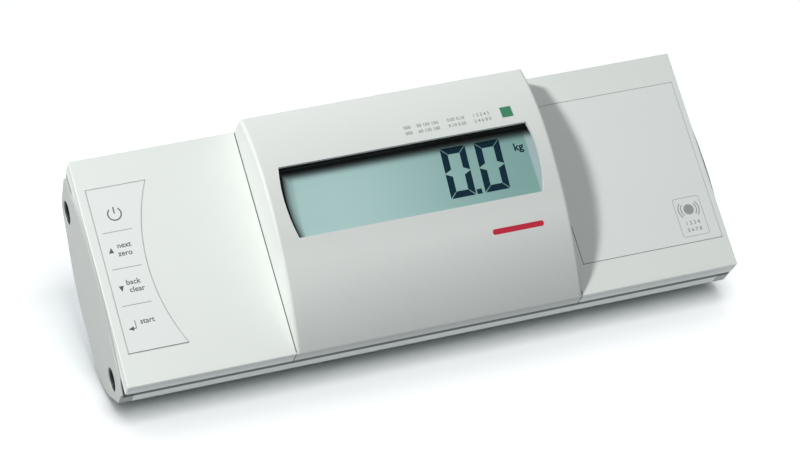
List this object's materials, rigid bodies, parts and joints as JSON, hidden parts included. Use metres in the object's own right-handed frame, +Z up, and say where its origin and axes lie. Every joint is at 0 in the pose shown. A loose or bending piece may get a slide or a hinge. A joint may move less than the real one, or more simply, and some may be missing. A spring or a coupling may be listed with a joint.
{
  "type": "scale display console",
  "caption": "Desk display console of a platform scale: long flat body with foil keypad, raised display hood, wing panel, lens-shaped end caps and fold-out rear stand.",
  "frame": {"origin": "middle of the footprint, on the desk the console stands on", "axes": "+X along the console to its right end, +Y to the back, +Z up"},
  "size_m": [0.3024, 0.1106, 0.1067],
  "materials": {
    "cover_white": "fine satin moulded plastic, off-white",
    "hood_white": "fine satin moulded plastic, off-white",
    "shell_grey": "fine spark-eroded texture, blue-grey",
    "cap_grey": "fine spark-eroded texture, grey",
    "stand_grey": "fine spark-eroded texture, grey",
    "foil": "fine matt polyester film with grey printing",
    "key_film": "fine matt polyester film with grey printing",
    "panel_white": "satin moulded plastic, off-white",
    "bezel_black": "black moulded plastic",
    "display": "grey-green liquid crystal display",
    "lens": "clear acrylic",
    "reflector": "white reflector film",
    "elastomer": "layered conducting rubber",
    "circuit_board": "green solder resist",
    "chip_black": "black moulding compound",
    "ribbon": "pale flat cable",
    "cell_sleeve": "plain dark cell sleeve",
    "contact_metal": "nickel-plated spring sheet",
    "socket_black": "black moulded plastic",
    "steel": "zinc-plated steel",
    "rubber": "soft dark rubber",
    "seal_green": "green printed foil"
  },
  "bodies": {
    "console": {"top_cover": "cover_white", "display_hood": "hood_white", "lower_shell": "shell_grey", "end_cap_left": "cap_grey", "end_cap_right": "cap_grey", "end_cap_screws": "steel", "keypad_foil": "foil", "key_board": "circuit_board", "key_domes": "steel", "wing_panel": "panel_white", "radio_board": "circuit_board", "radio_can": "steel", "lcd_bezel": "bezel_black", "lcd_glass": "display", "window_lens": "lens", "lcd_reflector": "reflector", "lcd_holder": "bezel_black", "lcd_elastomers": "elastomer", "main_board": "circuit_board", "board_chips": "chip_black", "buzzer": "chip_black", "key_cable": "ribbon", "radio_cable": "ribbon", "battery_cable": "ribbon", "socket_cable": "ribbon", "battery_tray": "shell_grey", "battery_cells": "cell_sleeve", "battery_contacts": "contact_metal", "battery_springs": "contact_metal", "socket_board": "circuit_board", "data_socket": "socket_black", "power_socket": "socket_black", "stand_pin": "steel", "front_feet": "rubber", "housing_screws": "steel", "hood_screws": "steel", "board_screws": "steel", "seal_sticker": "seal_green"},
    "key_enter": {"key_enter": "key_film"},
    "key_down": {"key_down": "key_film"},
    "key_up": {"key_up": "key_film"},
    "key_power": {"key_power": "key_film"},
    "stand": {"rear_stand": "stand_grey", "stand_pad": "rubber"},
    "battery_lid": {"battery_lid": "shell_grey"}
  },
  "joints": [
    {"name": "enter_press", "type": "slide", "parent": "console", "child": "key_enter", "axis": [0, 0.6157, -0.788], "range_m": [0, 0.0004], "stiffness_N_per_m": 5000},
    {"name": "down_press", "type": "slide", "parent": "console", "child": "key_down", "axis": [0, 0.6157, -0.788], "range_m": [0, 0.0004], "stiffness_N_per_m": 5000},
    {"name": "up_press", "type": "slide", "parent": "console", "child": "key_up", "axis": [0, 0.6157, -0.788], "range_m": [0, 0.0004], "stiffness_N_per_m": 5000},
    {"name": "power_press", "type": "slide", "parent": "console", "child": "key_power", "axis": [0, 0.6157, -0.788], "range_m": [0, 0.0004], "stiffness_N_per_m": 5000},
    {"name": "stand_fold", "type": "hinge", "parent": "console", "child": "stand", "pos_m": [0, 0.03499, 0.02858], "axis": [-1, 0, 0], "range_deg": [0, 78]},
    {"name": "lid_lift", "type": "slide", "parent": "console", "child": "battery_lid", "axis": [0, 0.6157, -0.788], "range_m": [0, 0.025]}
  ]
}
